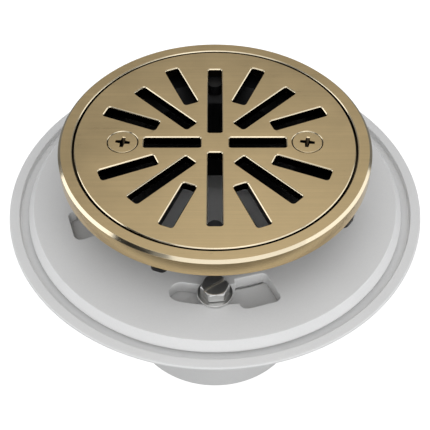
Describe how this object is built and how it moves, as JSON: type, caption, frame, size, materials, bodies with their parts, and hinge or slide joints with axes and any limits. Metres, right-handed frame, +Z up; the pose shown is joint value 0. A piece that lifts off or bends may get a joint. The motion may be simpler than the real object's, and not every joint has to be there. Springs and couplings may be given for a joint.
{
  "type": "floor drain grate",
  "caption": "Round slotted grate screwed into a trim ring on a threaded height-adjustable barrel, held by a bolted clamping collar on a flanged drain base with a pipe hub.",
  "frame": {"origin": "centre of the pipe hub's lower end, on the drain's axis", "axes": "+Z up along the drain's axis to the grate; +X through the right-hand grate screw; -Y to the side the picture was taken from"},
  "size_m": [0.1482, 0.1482, 0.0997],
  "materials": {
    "brushed_brass": "brushed",
    "insert_brass": "machined",
    "bolt_steel": "bright zinc-plated",
    "black_screw": "black oxide",
    "black_abs": "satin moulded",
    "gasket_rubber": "matte",
    "white_pvc": "satin moulded"
  },
  "bodies": {
    "base": {"drain_base": "white_pvc", "bolt_insert_1": "insert_brass", "bolt_insert_2": "insert_brass", "bolt_insert_3": "insert_brass", "bolt_insert_4": "insert_brass"},
    "collar": {"clamping_collar": "white_pvc"},
    "barrel_height": {"ring_gasket": "gasket_rubber"},
    "barrel": {"threaded_barrel": "black_abs", "strainer_ring": "brushed_brass", "ring_screw_1": "black_screw", "ring_screw_2": "black_screw", "ring_screw_3": "black_screw", "ring_screw_4": "black_screw", "screw_insert_left": "insert_brass", "screw_insert_right": "insert_brass"},
    "grate": {"grate_plate": "brushed_brass"},
    "screw_left": {"grate_screw_left": "brushed_brass"},
    "screw_right": {"grate_screw_right": "brushed_brass"},
    "washer_1": {"bolt_washer_1": "bolt_steel"},
    "bolt_1": {"collar_bolt_1": "bolt_steel"},
    "washer_2": {"bolt_washer_2": "bolt_steel"},
    "bolt_2": {"collar_bolt_2": "bolt_steel"},
    "washer_3": {"bolt_washer_3": "bolt_steel"},
    "bolt_3": {"collar_bolt_3": "bolt_steel"},
    "washer_4": {"bolt_washer_4": "bolt_steel"},
    "bolt_4": {"collar_bolt_4": "bolt_steel"}
  },
  "joints": [
    {"name": "collar_turn", "type": "hinge", "parent": "base", "child": "collar", "pos_m": [0, 0, 0.0684], "axis": [0, 0, 1], "range_deg": [-21, 15]},
    {"name": "barrel_rise", "type": "slide", "parent": "collar", "child": "barrel_height", "axis": [0, 0, 1], "range_m": [-0.01, 0.012]},
    {"name": "barrel_turn", "type": "hinge", "parent": "barrel_height", "child": "barrel", "pos_m": [0, 0, 0.0737], "axis": [0, 0, 1], "range_deg": [-1133, 1360]},
    {"name": "grate_lift", "type": "slide", "parent": "barrel", "child": "grate", "axis": [0, 0, 1], "range_m": [0, 0.0085]},
    {"name": "screw_left_turn", "type": "hinge", "parent": "grate", "child": "screw_left", "pos_m": [-0.0318, 0, 0.0997], "axis": [0, 0, 1], "range_deg": [0, 2894]},
    {"name": "screw_right_turn", "type": "hinge", "parent": "grate", "child": "screw_right", "pos_m": [0.0318, 0, 0.0997], "axis": [0, 0, 1], "range_deg": [0, 2894]},
    {"name": "bolt_1_lift", "type": "slide", "parent": "base", "child": "washer_1", "axis": [0, 0, 1], "range_m": [0, 0.01]},
    {"name": "bolt_1_turn", "type": "hinge", "parent": "washer_1", "child": "bolt_1", "pos_m": [0, -0.0463, 0.0753], "axis": [0, 0, 1], "range_deg": [0, 2834]},
    {"name": "bolt_2_lift", "type": "slide", "parent": "base", "child": "washer_2", "axis": [0, 0, 1], "range_m": [0, 0.01]},
    {"name": "bolt_2_turn", "type": "hinge", "parent": "washer_2", "child": "bolt_2", "pos_m": [0.0463, 0, 0.0753], "axis": [0, 0, 1], "range_deg": [0, 2834]},
    {"name": "bolt_3_lift", "type": "slide", "parent": "base", "child": "washer_3", "axis": [0, 0, 1], "range_m": [0, 0.01]},
    {"name": "bolt_3_turn", "type": "hinge", "parent": "washer_3", "child": "bolt_3", "pos_m": [0, 0.0463, 0.0753], "axis": [0, 0, 1], "range_deg": [0, 2834]},
    {"name": "bolt_4_lift", "type": "slide", "parent": "base", "child": "washer_4", "axis": [0, 0, 1], "range_m": [0, 0.01]},
    {"name": "bolt_4_turn", "type": "hinge", "parent": "washer_4", "child": "bolt_4", "pos_m": [-0.0463, 0, 0.0753], "axis": [0, 0, 1], "range_deg": [0, 2834]}
  ],
  "couplings": [
    {"joint": "barrel_rise", "follows": "barrel_turn", "m_per_rad": 0.00050532},
    {"joint": "screw_left_turn", "follows": "grate_lift", "rad_per_m": 5938.7},
    {"joint": "screw_right_turn", "follows": "grate_lift", "rad_per_m": 5938.7},
    {"joint": "bolt_1_turn", "follows": "bolt_1_lift", "rad_per_m": 4947.4},
    {"joint": "bolt_2_turn", "follows": "bolt_2_lift", "rad_per_m": 4947.4},
    {"joint": "bolt_3_turn", "follows": "bolt_3_lift", "rad_per_m": 4947.4},
    {"joint": "bolt_4_turn", "follows": "bolt_4_lift", "rad_per_m": 4947.4}
  ]
}
